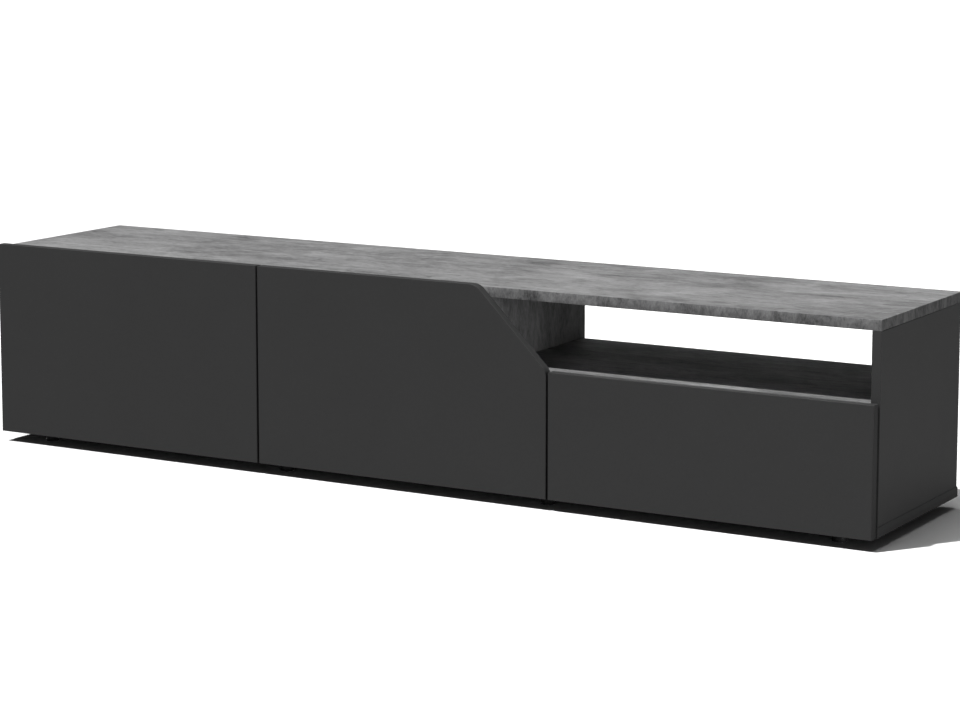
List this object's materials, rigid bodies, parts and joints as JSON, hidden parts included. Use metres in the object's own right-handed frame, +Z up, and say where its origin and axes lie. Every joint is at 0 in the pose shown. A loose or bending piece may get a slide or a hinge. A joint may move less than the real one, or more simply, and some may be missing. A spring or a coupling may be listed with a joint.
{
  "type": "low dresser with drawer",
  "caption": "Low, long dresser with handleless push-to-open doors, a drawer below a see-through niche, and a door corner cut at 45 degrees.",
  "frame": {"origin": "on the floor, below the middle of the whole dresser's box, fronts included", "axes": "+X along the dresser's length towards the niche end, -Y out of the fronts, +Z up"},
  "size_m": [1.8, 0.38, 0.383],
  "materials": {
    "anthracite_melamine": "matt melamine-faced board",
    "slate_decor": "slate-look printed decor on board, matt",
    "dark_hardboard": "lacquered hardboard",
    "drawer_foil": "foil-wrapped board, linen print",
    "black_plastic": "moulded, fine grain",
    "grey_plastic": "moulded, fine grain",
    "zinc_steel": "zinc plated",
    "nickel_steel": "nickel plated"
  },
  "bodies": {
    "carcass": {"worktop": "slate_decor", "bottom_panel": "anthracite_melamine", "side_left": "anthracite_melamine", "side_right": "anthracite_melamine", "upright_left": "anthracite_melamine", "upright_right": "anthracite_melamine", "niche_shelf": "slate_decor", "niche_wall": "slate_decor", "back_left": "dark_hardboard", "back_middle": "dark_hardboard", "back_right": "dark_hardboard", "cam_side_left_front": "zinc_steel", "cam_side_left_back": "zinc_steel", "cam_side_right_front": "zinc_steel", "cam_side_right_back": "zinc_steel", "cam_upright_left_front": "zinc_steel", "cam_upright_left_back": "zinc_steel", "cam_niche_wall_front": "zinc_steel", "cam_niche_wall_back": "zinc_steel", "foot_front_1": "black_plastic", "foot_front_2": "black_plastic", "foot_front_3": "black_plastic", "foot_front_4": "black_plastic", "foot_back_1": "black_plastic", "foot_back_2": "black_plastic", "foot_back_3": "black_plastic", "foot_back_4": "black_plastic", "left_hinge_arm_lower": "nickel_steel", "left_hinge_arm_lower_plate": "zinc_steel", "left_hinge_arm_upper": "nickel_steel", "left_hinge_arm_upper_plate": "zinc_steel", "middle_hinge_arm_lower": "nickel_steel", "middle_hinge_arm_lower_plate": "zinc_steel", "middle_hinge_arm_upper": "nickel_steel", "middle_hinge_arm_upper_plate": "zinc_steel", "left_latch_body": "grey_plastic", "middle_latch_body": "grey_plastic", "runner_outer_left": "zinc_steel", "runner_outer_right": "zinc_steel"},
    "left_door": {"left_door": "anthracite_melamine", "left_hinge_cup_lower": "nickel_steel", "left_hinge_cup_upper": "nickel_steel", "left_strike_plate": "zinc_steel"},
    "middle_door": {"middle_door": "anthracite_melamine", "middle_hinge_cup_lower": "nickel_steel", "middle_hinge_cup_upper": "nickel_steel", "middle_strike_plate": "zinc_steel"},
    "left_latch": {"left_latch_nose": "black_plastic"},
    "middle_latch": {"middle_latch_nose": "black_plastic"},
    "drawer": {"drawer_front": "anthracite_melamine", "drawer_side_left": "drawer_foil", "drawer_side_right": "drawer_foil", "drawer_back": "drawer_foil", "drawer_bottom": "drawer_foil", "runner_inner_left": "zinc_steel", "runner_inner_right": "zinc_steel"},
    "runner_middles": {"runner_middle_left": "zinc_steel", "runner_middle_right": "zinc_steel"}
  },
  "joints": [
    {"name": "left_door_swing", "type": "hinge", "parent": "carcass", "child": "left_door", "pos_m": [-0.893, -0.184, 0.02], "axis": [0, 0, -1], "range_deg": [0, 100]},
    {"name": "middle_door_swing", "type": "hinge", "parent": "carcass", "child": "middle_door", "pos_m": [-0.293, -0.184, 0.02], "axis": [0, 0, -1], "range_deg": [0, 100]},
    {"name": "left_latch_push", "type": "slide", "parent": "carcass", "child": "left_latch", "axis": [0, -1, 0], "range_m": [0, 0.01]},
    {"name": "middle_latch_push", "type": "slide", "parent": "carcass", "child": "middle_latch", "axis": [0, -1, 0], "range_m": [0, 0.01]},
    {"name": "drawer_slide", "type": "slide", "parent": "carcass", "child": "drawer", "axis": [0, -1, 0], "range_m": [-0.0015, 0.3]},
    {"name": "runner_middle_slide", "type": "slide", "parent": "carcass", "child": "runner_middles", "axis": [0, -1, 0], "range_m": [-0.00075, 0.15]}
  ],
  "couplings": [
    {"joint": "left_latch_push", "follows": "left_door_swing", "m_per_rad": 0.0057},
    {"joint": "middle_latch_push", "follows": "middle_door_swing", "m_per_rad": 0.0057},
    {"joint": "runner_middle_slide", "follows": "drawer_slide", "ratio": 0.5}
  ]
}
